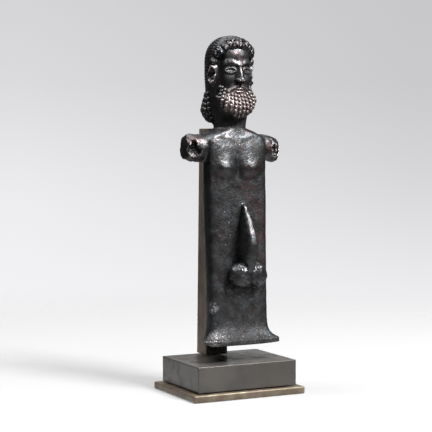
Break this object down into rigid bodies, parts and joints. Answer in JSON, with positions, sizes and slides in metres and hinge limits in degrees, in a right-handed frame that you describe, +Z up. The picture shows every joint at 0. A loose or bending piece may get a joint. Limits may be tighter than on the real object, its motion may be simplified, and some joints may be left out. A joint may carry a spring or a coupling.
{
  "type": "bronze herm",
  "caption": "Archaic bronze herm: bearded, curly-haired bust with broken arm stumps on a square shaft with a flared foot, held upright by a bar on a dark block and a brass plate.",
  "frame": {"origin": "centre of the base plate's underside", "axes": "+Z up along the herm, -Y the way the herm faces, +X to its left hand"},
  "size_m": [0.0368, 0.0284, 0.1068],
  "materials": {
    "dark_bronze": "worn black-brown patina, semi-gloss, pitted",
    "browned_metal": "brown patina, streaked, satin",
    "dark_block": "dark satin, softly clouded",
    "aged_brass": "aged, mottled"
  },
  "bodies": {
    "root": {"herm": "dark_bronze", "support_bar": "browned_metal", "base_block": "dark_block", "base_plate": "aged_brass"}
  },
  "joints": []
}
